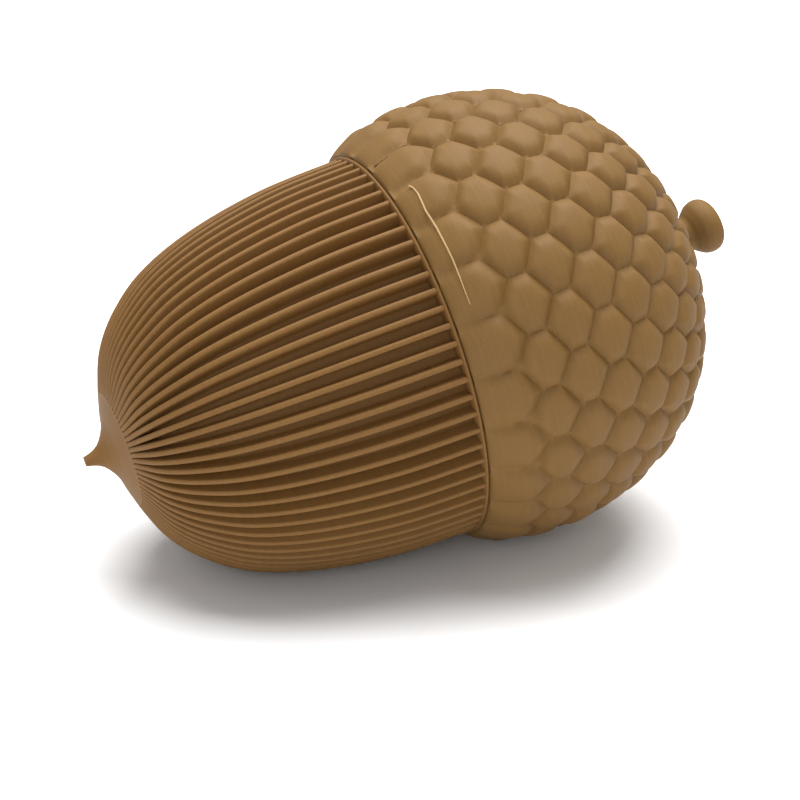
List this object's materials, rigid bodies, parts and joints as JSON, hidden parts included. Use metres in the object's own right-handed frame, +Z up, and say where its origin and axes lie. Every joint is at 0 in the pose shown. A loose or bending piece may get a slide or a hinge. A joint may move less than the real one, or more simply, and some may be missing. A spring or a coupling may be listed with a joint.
{
  "type": "acorn-shaped lidded box",
  "caption": "Hollow printed acorn lying on its side: a finned cup with a pointed tip, closed by a domed lid of staggered scales with a flared stem",
  "frame": {"origin": "middle of the bounding box's underside, on the surface that the acorn lies on", "axes": "+X along the acorn from the tip to the stem, level; +Z up; +Y completes the right-handed frame. The acorn's own axis lies in the XZ plane and rises 12.8 degrees from the tip to the stem"},
  "size_m": [0.106, 0.0698, 0.0693],
  "materials": {
    "nut_plastic": "matte brown printed filament with fine layer lines across the fins",
    "cap_plastic": "matte brown printed filament with fine layer lines round the axis and a few seam blobs"
  },
  "bodies": {
    "root": {"nut": "nut_plastic", "cap": "cap_plastic"}
  },
  "joints": []
}
